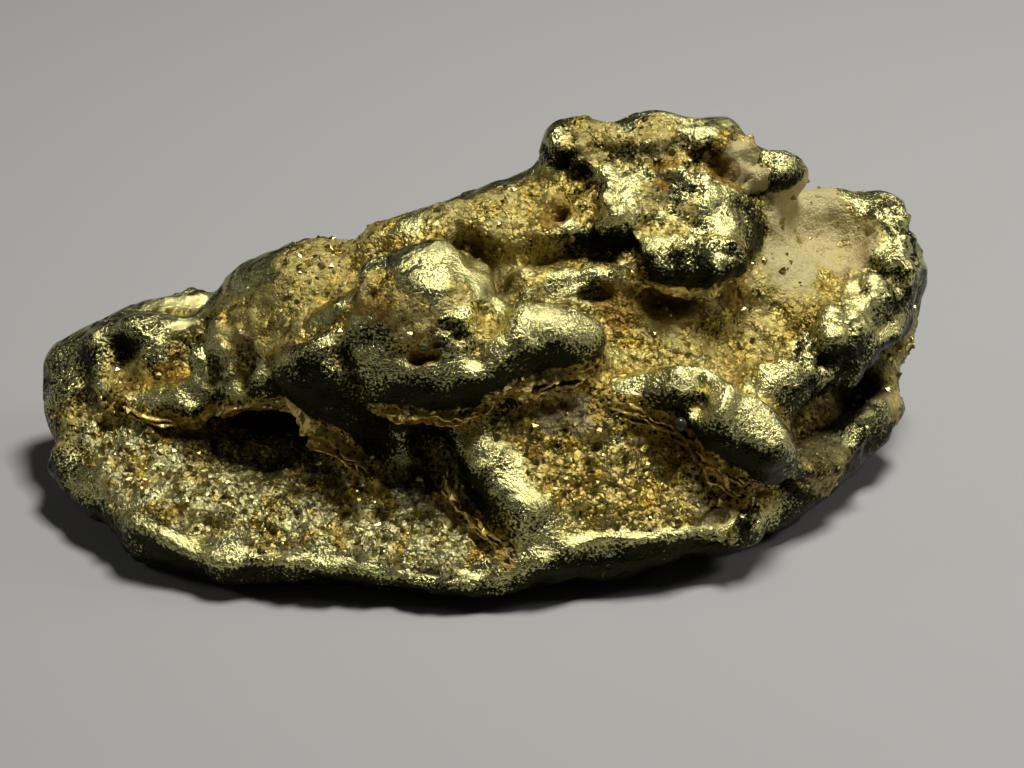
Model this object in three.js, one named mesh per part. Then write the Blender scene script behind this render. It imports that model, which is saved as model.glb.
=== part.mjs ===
// A placer gold nugget, one solid piece of native gold, worn round by a river.
//
// Units are millimetres, +Z is up, and the nugget lies on z = 0 on a small worn flat.
// +X runs along its length and +Y away from its folded front. The metal is described as
// a field that is negative inside it: lumps and ridges run together with soft creases,
// and hollows are taken away. A net of four-sided cells is then drawn over the field's
// zero surface and becomes one closed mesh.
import * as THREE from "three";
import { SimplexNoise } from "three/addons/math/SimplexNoise.js";

// Driving dimensions
const CELL = 0.36; // size of the net's cells
const SOFT_WAVE = { length: 1.7, height: 0.15 }; // large, worn undulation of the skin
const SMALL_WAVE = { length: 0.75, height: 0.06 }; // small knocks and dimples
const CREASE = 0.3; // how far two lobes run into each other
const SHARP = 0.14; // the same where one lobe is folded over another
const RIDGE_STEPS = 5; // straight steps between two points of a ridge
const RELAX_PASSES = 4; // how often the net is evened out
const BARELY_INSIDE = -1e-3; // field value given to a grid point that is made metal
const SLOPE_REACH = 0.02; // how far apart the field is sampled to find its slope
const LARGEST_STEP = 0.1; // furthest that one relax pass moves a point along the slope

const v = (x, y, z) => new THREE.Vector3(x, y, z);

// A lump is an ellipsoid: its centre, its three half sizes and its turn about X, Y, Z in degrees.
function lump(at, size, turn = [0, 0, 0], blend = CREASE) {
  const angles = turn.map(THREE.MathUtils.degToRad);
  const frame = new THREE.Matrix4().makeRotationFromEuler(new THREE.Euler(...angles));
  frame.setPosition(...at);
  const toLocal = frame.invert();
  const radii = v(...size);
  const squares = radii.clone().multiply(radii);
  const q = v(0, 0, 0);
  const scaled = v(0, 0, 0);
  const distance = (p) => {
    q.copy(p).applyMatrix4(toLocal);
    const near = scaled.copy(q).divide(radii).length();
    const slope = scaled.copy(q).divide(squares).length();
    return slope < 1e-9 ? -Math.min(...size) : (near * (near - 1)) / slope;
  };
  return { distance, blend };
}

// A ridge is a round bead of metal that follows a smooth curve: each point is x, y, z and radius.
function ridge(points, blend = CREASE) {
  const curve = new THREE.CatmullRomCurve3(points.map((p) => v(p[0], p[1], p[2])));
  const count = (points.length - 1) * RIDGE_STEPS;
  const spots = [];
  for (let i = 0; i <= count; i++) {
    const t = i / count;
    const k = Math.min(points.length - 2, Math.floor(t * (points.length - 1)));
    const radius = THREE.MathUtils.lerp(points[k][3], points[k + 1][3], t * (points.length - 1) - k);
    spots.push({ at: curve.getPoint(t), radius });
  }
  const along = v(0, 0, 0);
  const offset = v(0, 0, 0);
  const distance = (p) => {
    let least = Infinity;
    for (let i = 0; i < count; i++) {
      const a = spots[i];
      const b = spots[i + 1];
      along.subVectors(b.at, a.at);
      offset.subVectors(p, a.at);
      const t = THREE.MathUtils.clamp(offset.dot(along) / along.lengthSq(), 0, 1);
      const reach = offset.addScaledVector(along, -t).length();
      least = Math.min(least, reach - THREE.MathUtils.lerp(a.radius, b.radius, t));
    }
    return least;
  };
  return { distance, blend };
}

// The metal, lobe by lobe
const base = [
  lump([-4.6, 4.4, 0.9], [3.9, 3.3, 0.94], [3, 0, 8]),
  lump([-2.3, 2.9, 0.75], [4.9, 2.6, 0.62], [2, 0, 0]),
  lump([-1.2, 4.9, 1.25], [4.6, 3.6, 1.3]),
  lump([3.6, 5.4, 1.35], [4.3, 3.7, 1.4], [0, -2, 8]),
  ridge([
    [-8.05, 5.85, 1.75, 0.7], [-8.0, 4.6, 1.2, 0.55], [-7.2, 3.1, 0.75, 0.48], [-6.3, 1.75, 0.55, 0.45],
    [-4.8, 0.95, 0.48, 0.42], [-3.2, 0.65, 0.45, 0.4], [-1.6, 0.5, 0.45, 0.4], [0.2, 0.45, 0.5, 0.42],
    [2.0, 0.75, 0.72, 0.45], [3.8, 1.15, 0.75, 0.42], [4.9, 1.7, 0.75, 0.4],
  ]),
];

const leftHump = [
  lump([-3.35, 5.2, 3.0], [1.85, 1.9, 1.75], [18, 8, -10]),
  ridge([
    [-8.05, 5.85, 1.8, 0.72], [-7.4, 5.6, 2.2, 0.8], [-6.6, 5.45, 2.3, 0.85], [-5.6, 5.3, 2.35, 0.85],
    [-4.4, 5.4, 3.0, 1.1],
  ]),
  ridge([
    [-7.2, 4.5, 1.95, 0.5], [-6.4, 4.2, 1.9, 0.5], [-5.5, 4.0, 2.0, 0.5], [-4.6, 3.8, 2.3, 0.6],
    [-3.8, 3.6, 2.6, 0.6],
  ], SHARP),
  lump([-5.1, 4.15, 2.75], [0.42, 0.5, 0.6], [0, 0, 0], SHARP),
];

const core = [
  lump([1.9, 6.4, 3.0], [4.2, 2.7, 2.5]),
  lump([0.6, 4.9, 3.2], [2.2, 1.6, 1.5]),
  lump([5.2, 5.7, 2.6], [3.3, 2.9, 1.15], [26, 0, -6]),
  lump([1.9, 2.7, 2.0], [3.1, 2.4, 0.95], [40, 0, 0]),
  lump([0.2, 3.4, 2.6], [1.7, 1.35, 1.3]),
];

const centralLobe = [
  lump([-1.1, 3.45, 4.15], [1.45, 1.45, 1.45], [20, 0, 0], SHARP),
  lump([-1.2, 2.75, 3.85], [1.75, 1.05, 0.95], [35, 0, 0]),
  ridge([[-1.1, 3.5, 4.2, 1.1], [-2.2, 3.1, 3.85, 0.9], [-3.25, 2.85, 3.35, 0.64]]),
  ridge([
    [-1.6, 2.55, 3.6, 0.8], [-0.6, 2.25, 3.75, 0.7], [0.4, 2.5, 4.05, 0.64], [1.2, 2.75, 4.15, 0.64],
    [1.85, 2.85, 4.05, 0.5],
  ]),
  ridge([[-3.2, 2.75, 3.0, 0.5], [-2.7, 2.5, 2.4, 0.4], [-2.1, 2.3, 1.65, 0.24]], SHARP),
  ridge([[-1.0, 2.6, 3.0, 0.6], [-1.5, 2.45, 2.4, 0.5], [-2.0, 2.35, 1.75, 0.3]], SHARP),
  lump([-2.0, 2.8, 2.8], [0.95, 0.55, 0.8]),
];

const frontFold = [
  ridge([[-0.6, 2.3, 2.6, 0.5], [0.0, 1.75, 2.2, 0.6], [0.6, 1.25, 1.7, 0.6], [1.1, 0.95, 1.15, 0.5]]),
];

const rightLobe = [
  ridge([
    [2.3, 2.65, 2.85, 0.35], [3.2, 2.65, 3.0, 0.58], [3.95, 2.45, 2.8, 0.74], [4.55, 2.2, 2.42, 0.84],
    [4.98, 1.98, 2.12, 0.74],
  ], SHARP),
];

const rightRim = [
  ridge([
    [4.95, 3.35, 2.55, 0.42], [5.5, 3.5, 2.6, 0.58], [6.1, 4.15, 2.8, 0.55], [6.9, 5.0, 3.1, 0.68],
    [7.5, 5.9, 3.25, 0.64], [8.0, 6.9, 3.7, 0.75], [7.85, 7.9, 4.1, 0.62],
  ], SHARP),
  ridge([
    [5.2, 2.3, 0.65, 0.42], [6.1, 3.3, 0.7, 0.48], [7.1, 4.3, 0.85, 0.45], [7.8, 5.3, 1.25, 0.42],
    [8.2, 6.3, 1.9, 0.42], [8.35, 7.1, 2.8, 0.45], [8.1, 7.5, 3.5, 0.6],
  ], SHARP),
  ridge([[5.6, 7.4, 4.3, 0.6], [6.5, 7.8, 4.35, 0.5], [7.5, 7.9, 4.2, 0.5]]),
];

const crest = [
  lump([3.2, 6.9, 4.9], [2.7, 1.6, 1.15], [0, 6, 4]),
  lump([2.8, 5.8, 4.85], [1.3, 1.1, 0.95], [0, 0, 10], SHARP),
  lump([4.3, 5.85, 4.75], [1.1, 1.0, 0.75], [0, 10, 0], SHARP),
  lump([3.95, 4.8, 4.7], [1.15, 0.8, 0.55], [0, 8, 0], SHARP),
  lump([1.4, 5.6, 4.95], [0.75, 0.7, 0.75], [0, 0, 0], SHARP),
  lump([3.3, 6.2, 5.4], [1.6, 0.7, 0.62], [0, 4, 0]),
  lump([1.85, 6.9, 5.9], [0.85, 0.75, 0.8], [0, 0, 0], SHARP),
  lump([3.1, 7.0, 6.0], [0.95, 0.85, 0.85], [0, 0, 0], SHARP),
  ridge([
    [4.0, 7.1, 5.95, 0.64], [4.4, 7.15, 5.9, 0.68], [5.1, 7.2, 5.6, 0.52], [5.75, 7.2, 5.4, 0.56],
  ], SHARP),
  ridge([[0.9, 5.9, 4.8, 0.85], [-0.6, 5.6, 4.65, 0.9], [-1.6, 5.4, 4.4, 0.9]]),
];

const back = [
  lump([-5.6, 6.6, 1.6], [2.4, 1.3, 1.25], [0, 8, 8]),
  lump([-1.5, 7.6, 1.7], [2.8, 1.7, 1.85], [0, 0, 6]),
  lump([3.0, 8.1, 2.0], [2.6, 1.7, 2.15]),
  lump([6.6, 7.8, 2.5], [1.7, 1.3, 1.9], [0, 0, -20]),
];

const hollows = [
  lump([-4.3, 3.3, 1.8], [2.3, 1.2, 0.38], [8, -4, 4], SHARP),
  lump([7.1, 4.25, 2.08], [2.1, 1.05, 0.46], [0, -14, 50], SHARP),
  lump([-1.0, 1.7, 2.15], [0.5, 0.8, 0.5], [30, 0, 25], SHARP),
  lump([3.5, 1.7, 2.25], [1.35, 0.9, 0.32], [32, 18, 0], SHARP),
  lump([4.0, 4.3, 4.0], [1.1, 0.55, 0.22], [20, 8, 0], SHARP),
  lump([5.45, 1.85, 1.28], [0.9, 0.65, 0.24], [0, 0, -20], SHARP),
];

const solidLobes = [base, leftHump, core, centralLobe, frontFold, rightLobe, rightRim, crest, back].flat();

// A fixed sequence in place of Math.random, so that the nugget is the same each time.
function fixedRandom(seed) {
  let state = seed;
  return {
    random() {
      state = (state * 1664525 + 1013904223) % 4294967296;
      return state / 4294967296;
    },
  };
}
const noise = new SimplexNoise(fixedRandom(7));

// Polynomial blend of two distances over a width.
function softMin(a, b, width) {
  const h = Math.max(width - Math.abs(a - b), 0) / width;
  return Math.min(a, b) - (h * h * width) / 4;
}

function wave(p, { length, height }) {
  return height * noise.noise3d(p.x / length, p.y / length, p.z / length);
}

function field(p) {
  let d = Infinity;
  for (const { distance, blend } of solidLobes) {
    const next = distance(p);
    d = d === Infinity ? next : softMin(d, next, blend);
  }
  for (const { distance, blend } of hollows) {
    d = -softMin(-d, distance(p), blend);
  }
  return d + wave(p, SOFT_WAVE) + wave(p, SMALL_WAVE);
}

// Calls a function for every grid point or cell from first up to, and without, the given counts.
function forEachCell(first, [nx, ny, nz], visit) {
  for (let k = first; k < nz; k++) {
    for (let j = first; j < ny; j++) {
      for (let i = first; i < nx; i++) {
        visit(i, j, k);
      }
    }
  }
}

// The twelve edges of a cube, as pairs of corner numbers whose bits are the corner's x, y and z.
function cubeEdges() {
  const edges = [];
  for (let corner = 0; corner < 8; corner++) {
    for (const bit of [1, 2, 4]) {
      if (!(corner & bit)) edges.push([corner, corner | bit]);
    }
  }
  return edges;
}

// Draws a net of quads over the zero surface of the field inside a box: its points and its triangles.
function netOver(box, cell) {
  const size = box.getSize(v(0, 0, 0));
  const [nx, ny, nz] = size.toArray().map((s) => Math.ceil(s / cell) + 1);
  const at = (i, j, k) => i + nx * (j + ny * k);
  const point = (i, j, k) => v(i, j, k).multiplyScalar(cell).add(box.min);
  const counts = [nx, ny, nz];
  const cells = [nx - 1, ny - 1, nz - 1];
  const values = new Float64Array(nx * ny * nz);
  forEachCell(0, counts, (i, j, k) => {
    values[at(i, j, k)] = field(point(i, j, k));
  });
  removeCheckerboards(values, cells, at);
  fillPockets(values, counts, at);

  // one point in each cell that the surface passes through
  const net = new Map();
  const positions = [];
  const corners = [0, 1, 2, 3, 4, 5, 6, 7].map((c) => [c & 1, (c >> 1) & 1, c >> 2]);
  const edges = cubeEdges();
  forEachCell(0, cells, (i, j, k) => {
    const sum = v(0, 0, 0);
    let crossings = 0;
    for (const [a, b] of edges) {
      const ca = corners[a];
      const cb = corners[b];
      const va = values[at(i + ca[0], j + ca[1], k + ca[2])];
      const vb = values[at(i + cb[0], j + cb[1], k + cb[2])];
      if (va < 0 === vb < 0) continue;
      const t = va / (va - vb);
      sum.add(v(...ca).lerp(v(...cb), t));
      crossings++;
    }
    if (!crossings) return;
    net.set(at(i, j, k), positions.length);
    positions.push(sum.divideScalar(crossings).add(v(i, j, k)).multiplyScalar(cell).add(box.min));
  });

  // one quad for each grid edge that the surface crosses, joining the four cells round it
  const triangles = [];
  const quad = (a, b, c, d) => {
    const short = positions[a].distanceTo(positions[c]) < positions[b].distanceTo(positions[d]);
    triangles.push(...(short ? [a, b, c, a, c, d] : [b, c, d, b, d, a]));
  };
  const steps = [[1, 0, 0], [0, 1, 0], [0, 0, 1]];
  forEachCell(1, cells, (i, j, k) => {
    const inside = values[at(i, j, k)] < 0;
    steps.forEach(([di, dj, dk], axis) => {
      if (inside === values[at(i + di, j + dj, k + dk)] < 0) return;
      const [ui, uj, uk] = steps[(axis + 1) % 3];
      const [wi, wj, wk] = steps[(axis + 2) % 3];
      const around = [
        at(i, j, k),
        at(i - ui, j - uj, k - uk),
        at(i - ui - wi, j - uj - wj, k - uk - wk),
        at(i - wi, j - wj, k - wk),
      ].map((c) => net.get(c));
      if (!inside) around.reverse();
      quad(...around);
    });
  });
  return { positions, triangles };
}

// Grid points that the air around the nugget cannot reach become metal, so no void is sealed inside.
function fillPockets(values, [nx, ny, nz], at) {
  const open = new Uint8Array(values.length);
  const queue = [[0, 0, 0]];
  open[at(0, 0, 0)] = 1;
  while (queue.length) {
    const [i, j, k] = queue.pop();
    const around = [[i - 1, j, k], [i + 1, j, k], [i, j - 1, k], [i, j + 1, k], [i, j, k - 1], [i, j, k + 1]];
    for (const [a, b, c] of around) {
      if (a < 0 || b < 0 || c < 0 || a >= nx || b >= ny || c >= nz) continue;
      if (open[at(a, b, c)] || values[at(a, b, c)] < 0) continue;
      open[at(a, b, c)] = 1;
      queue.push([a, b, c]);
    }
  }
  for (let n = 0; n < values.length; n++) {
    if (!open[n] && values[n] >= 0) values[n] = BARELY_INSIDE;
  }
}

// Four grid points round a square that are in, out, in, out would make two sheets share an edge.
function removeCheckerboards(values, cells, at) {
  const planes = [[[1, 0, 0], [0, 1, 0]], [[0, 1, 0], [0, 0, 1]], [[1, 0, 0], [0, 0, 1]]];
  let changed = true;
  while (changed) {
    changed = false;
    forEachCell(0, cells, (i, j, k) => {
      for (const [a, b] of planes) {
        const spots = [
          at(i, j, k),
          at(i + a[0], j + a[1], k + a[2]),
          at(i + a[0] + b[0], j + a[1] + b[1], k + a[2] + b[2]),
          at(i + b[0], j + b[1], k + b[2]),
        ];
        const [p, q, r, s] = spots.map((n) => values[n] < 0);
        if (p !== r || q !== s || p === q) continue;
        values[p ? spots[1] : spots[0]] = BARELY_INSIDE;
        changed = true;
      }
    });
  }
}

// Evens out the net, and brings each point back onto the field's surface.
function relax(positions, triangles, passes) {
  const neighbours = positions.map(() => new Set());
  for (let t = 0; t < triangles.length; t += 3) {
    for (let c = 0; c < 3; c++) {
      neighbours[triangles[t + c]].add(triangles[t + ((c + 1) % 3)]);
      neighbours[triangles[t + c]].add(triangles[t + ((c + 2) % 3)]);
    }
  }
  const slope = v(0, 0, 0);
  const gradient = (p) => {
    for (const axis of ["x", "y", "z"]) {
      const ahead = p.clone();
      const behind = p.clone();
      ahead[axis] += SLOPE_REACH;
      behind[axis] -= SLOPE_REACH;
      slope[axis] = (field(ahead) - field(behind)) / (2 * SLOPE_REACH);
    }
    return slope;
  };
  for (let pass = 0; pass < passes; pass++) {
    const middles = positions.map((p, i) => {
      const sum = v(0, 0, 0);
      for (const n of neighbours[i]) sum.add(positions[n]);
      return sum.divideScalar(neighbours[i].size);
    });
    positions.forEach((p, i) => {
      p.lerp(middles[i], 0.5);
      const g = gradient(p);
      const step = field(p) / Math.max(g.lengthSq(), 0.25);
      p.addScaledVector(g, -THREE.MathUtils.clamp(step, -LARGEST_STEP, LARGEST_STEP));
    });
  }
}

// The underside is worn off level at z = 0, and the origin is put under the middle.
function nuggetGeometry() {
  const box = new THREE.Box3(v(-9.9, -0.9, -1.2), v(9.9, 10.9, 7.6));
  const { positions, triangles } = netOver(box, CELL);
  relax(positions, triangles, RELAX_PASSES);
  for (const p of positions) {
    p.z = Math.max(p.z, 0);
  }
  const bounds = new THREE.Box3().setFromPoints(positions);
  const middle = bounds.getCenter(v(0, 0, 0));
  for (const p of positions) {
    p.sub(v(middle.x, middle.y, 0));
  }
  const geometry = new THREE.BufferGeometry().setFromPoints(positions);
  geometry.setIndex(triangles);
  geometry.computeVertexNormals();
  return geometry;
}

const gold = new THREE.MeshStandardMaterial({ color: 0xd3b04c, roughness: 0.34, metalness: 1 });
const nugget = new THREE.Mesh(nuggetGeometry(), gold);
nugget.name = "nugget";

const part = new THREE.Group();
part.add(nugget);

export default part;
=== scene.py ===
# A river-worn gold nugget lying on a pale table: its folded skin, the torn flaky edges of the folds,
# and the loose grains, clay and iron stain caught in its hollows.
import math
import bmesh
import bpy
import numpy as np
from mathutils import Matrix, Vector, noise
from mathutils.bvhtree import BVHTree


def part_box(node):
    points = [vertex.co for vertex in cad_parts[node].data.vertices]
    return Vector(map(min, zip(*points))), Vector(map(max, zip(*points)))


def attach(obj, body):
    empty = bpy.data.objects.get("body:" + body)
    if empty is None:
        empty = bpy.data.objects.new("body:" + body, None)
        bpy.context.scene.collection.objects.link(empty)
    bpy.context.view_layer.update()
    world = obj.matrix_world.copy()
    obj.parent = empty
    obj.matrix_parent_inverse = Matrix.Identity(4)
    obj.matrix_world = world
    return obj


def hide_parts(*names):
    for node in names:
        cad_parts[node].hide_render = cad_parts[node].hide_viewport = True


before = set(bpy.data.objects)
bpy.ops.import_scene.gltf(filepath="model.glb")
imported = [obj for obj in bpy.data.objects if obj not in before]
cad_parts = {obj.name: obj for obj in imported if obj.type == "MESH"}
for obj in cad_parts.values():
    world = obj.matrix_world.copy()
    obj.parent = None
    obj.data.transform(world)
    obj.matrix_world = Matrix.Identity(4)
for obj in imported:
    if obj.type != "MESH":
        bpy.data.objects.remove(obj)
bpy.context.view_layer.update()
mm = 0.001
low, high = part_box("nugget")
middle = (low + high) / 2
print("frame loaded, nugget is", [round(side / mm, 1) for side in high - low], "mm")


# Colours are sRGB hex, turned linear here
def colour(hexText):
    parts = [int(hexText[i:i + 2], 16) / 255 for i in (1, 3, 5)]
    linear = [part / 12.92 if part <= 0.04045 else ((part + 0.055) / 1.055) ** 2.4 for part in parts]
    return (*linear, 1.0)


def pointsOf(mesh):
    points = np.empty(len(mesh.vertices) * 3)
    mesh.vertices.foreach_get("co", points)
    return points.reshape(-1, 3) / mm


def setPoints(mesh, points):
    mesh.vertices.foreach_set("co", (points * mm).astype(np.float32).ravel())
    mesh.update()


def normalsOf(mesh):
    normals = np.empty(len(mesh.vertices) * 3)
    mesh.vertices.foreach_get("normal", normals)
    return normals.reshape(-1, 3)


def edgesOf(mesh):
    edges = np.empty(len(mesh.edges) * 2, dtype=np.int64)
    mesh.edges.foreach_get("vertices", edges)
    return edges.reshape(-1, 2)


# Each value moves towards the average of its neighbours, a few times over
def smoothed(values, edges, passes, share=0.5):
    a, b = edges[:, 0], edges[:, 1]
    count = len(values)
    ends = np.concatenate([a, b])
    others = np.concatenate([b, a])
    valence = np.maximum(np.bincount(ends, minlength=count), 1)
    flat = values.reshape(count, -1).astype(float)
    for _ in range(passes):
        around = np.stack([np.bincount(ends, column[others], count) for column in flat.T], axis=1)
        flat = flat + share * (around / valence[:, None] - flat)
    return flat.reshape(values.shape)


def softStep(values, start, end):
    t = np.clip((values - start) / (end - start), 0, 1)
    return t * t * (3 - 2 * t)


# Noise at every point, between about -1 and 1. Its coarsest lumps have the given size in mm, and the
# shift picks another stretch of it, as a seed would.
def lumpyNoise(points, size, shift=0.0, octaves=1):
    scaled = points / size + shift
    if octaves == 1:
        return np.array([noise.noise(Vector(p)) for p in scaled])
    return np.array([noise.fractal(Vector(p), 1.0, 2.0, octaves) for p in scaled])


# Broken crystal faces: every cell is one flat face with its own tilt and height
def crystalFaces(points, size, shift):
    heights = np.empty(len(points))
    for i, p in enumerate(points / size + shift):
        here = Vector(p)
        centre = noise.voronoi(here)[1][0]
        tilt = noise.cell_vector(centre * 31.7)
        heights[i] = (here - centre).dot(tilt - Vector((0.5, 0.5, 0.5))) * 1.2 + tilt.z - 0.5
    return heights


# Rounded pebbles pressed together, with a crease between each two
def pebbles(points, size, shift):
    return np.array([0.6 - 1.8 * noise.voronoi(Vector(p))[0][0] ** 2 for p in points / size + shift])


# A smooth line through the given stops
def smoothLine(stops, samples):
    stops = np.array(stops, float)
    padded = np.vstack([2 * stops[0] - stops[1], stops, 2 * stops[-1] - stops[-2]])
    line = []
    for i in range(1, len(padded) - 2):
        p0, p1, p2, p3 = padded[i - 1:i + 3]
        for t in np.linspace(0, 1, samples, endpoint=False):
            line.append(0.5 * (2 * p1 + (p2 - p0) * t + (2 * p0 - 5 * p1 + 4 * p2 - p3) * t ** 2
                               + (3 * p1 - p0 - 3 * p2 + p3) * t ** 3))
    return np.array(line + [stops[-1]])


# Distance from each point to a smooth line, and how far along the line it is, 0 to 1
def alongLine(points, stops):
    line = smoothLine(stops, 6)
    best = np.full(len(points), 1e9)
    where = np.zeros(len(points))
    for i in range(len(line) - 1):
        step = line[i + 1] - line[i]
        t = np.clip((points - line[i]) @ step / (step @ step), 0, 1)
        reach = np.linalg.norm(points - line[i] - t[:, None] * step, axis=1)
        nearer = reach < best
        best[nearer] = reach[nearer]
        where[nearer] = (i + t[nearer]) / (len(line) - 1)
    return best, where


def addAttribute(mesh, name, values):
    attribute = mesh.attributes.new(name, "FLOAT", "POINT")
    attribute.data.foreach_set("value", values.astype(np.float32))


def meshTree(mesh):
    return BVHTree.FromPolygons([v.co for v in mesh.vertices], [p.vertices for p in mesh.polygons])


def addObject(name, contents):
    added = bpy.data.objects.new(name, contents)
    bpy.context.scene.collection.objects.link(added)
    return added


def placePiece(name, mesh, material):
    mesh.materials.clear()
    mesh.materials.append(material)
    piece = addObject(name, mesh)
    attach(piece, "root")
    return piece


# Adds one node with its settings, then sets or links its inputs: i0 is input number 0, and an underscore
# in an input's name stands for a space
def addNode(tree, kind, settings=None, **inputs):
    node = tree.nodes.new(kind)
    for name, value in (settings or {}).items():
        setattr(node, name, value)
    for name, value in inputs.items():
        key = int(name[1:]) if name[0] == "i" and name[1:].isdigit() else name.replace("_", " ")
        if isinstance(value, bpy.types.NodeSocket):
            tree.links.new(value, node.inputs[key])
        else:
            node.inputs[key].default_value = value
    return node


def newMaterial(name):
    material = bpy.data.materials.new(name)
    material.use_nodes = True
    tree = material.node_tree
    return material, tree, tree.nodes["Principled BSDF"]


# The torn edges of the folds: thin crumpled sheets of gold, one under another, that stick out of the skin.
# Everything is in mm, and places are in the nugget's own frame. The skin is spongy beside each lip.
flakes = {
    "stepMm": 0.05,
    "thicknessMm": 0.03,
    "rows": 4,
    "crumple": 0.06,
    "buried": 0.08,  # how deep each sheet starts inside the skin
    # stops along the torn edge, sheets, gap between them, how far they stick out, how much they hang
    "lips": [
        ([(-4.0, -1.8, 2.6), (-3.4, -2.3, 2.65), (-2.9, -2.6, 2.45), (-2.5, -2.8, 2.15), (-2.3, -2.9, 1.9),
          (-2.1, -3.1, 1.8)], 3, 0.2, 0.38, 0.1),
        ([(-2.0, -2.9, 3.05), (-1.5, -3.3, 3.2), (-0.7, -3.2, 3.1), (-0.2, -2.9, 3.1), (0.2, -2.9, 3.3)],
         2, 0.16, 0.24, 0.1),
        ([(0.2, -3.0, 3.55), (0.6, -2.9, 3.55), (0.9, -2.7, 3.55), (1.3, -2.6, 3.6), (1.7, -2.5, 3.7),
          (2.1, -2.2, 3.7)], 3, 0.14, 0.26, 0.1),
        ([(2.2, -2.6, 3.1), (2.7, -2.7, 3.05), (3.1, -2.5, 2.8), (3.5, -2.5, 2.5), (3.8, -2.8, 2.4),
          (4.1, -3.1, 2.1), (4.5, -3.2, 1.8), (4.8, -3.2, 1.6)], 4, 0.13, 0.2, 0.1),
        ([(-0.8, -2.9, 2.0), (-0.5, -3.3, 1.6), (-0.2, -3.6, 1.35), (0.1, -4.0, 1.2), (0.4, -4.5, 1.0)],
         3, 0.16, 0.34, 0.1),
        ([(2.9, -0.6, 4.45), (3.3, -0.7, 4.4), (3.8, -0.8, 4.35), (4.4, -0.6, 4.35), (4.9, -0.3, 4.5)],
         2, 0.14, 0.18, 0.3),
        ([(-7.4, -0.7, 2.1), (-6.8, -0.9, 1.9), (-5.9, -1.3, 2.0), (-5.4, -1.2, 2.0), (-4.9, -1.5, 2.3),
          (-4.0, -1.8, 2.6)], 2, 0.14, 0.18, 0.2),
    ],
    "fin": [([(4.4, -4.0, 0.8), (4.6, -3.95, 0.9), (4.8, -3.85, 1.0), (5.0, -3.75, 1.05), (5.2, -3.6, 1.1)],
             3, 0.09, 0.42, -0.8)],
    "finThicknessMm": 0.13,
    "finLumps": 0.07,
    "finLumpSize": 0.22,
}


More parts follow.
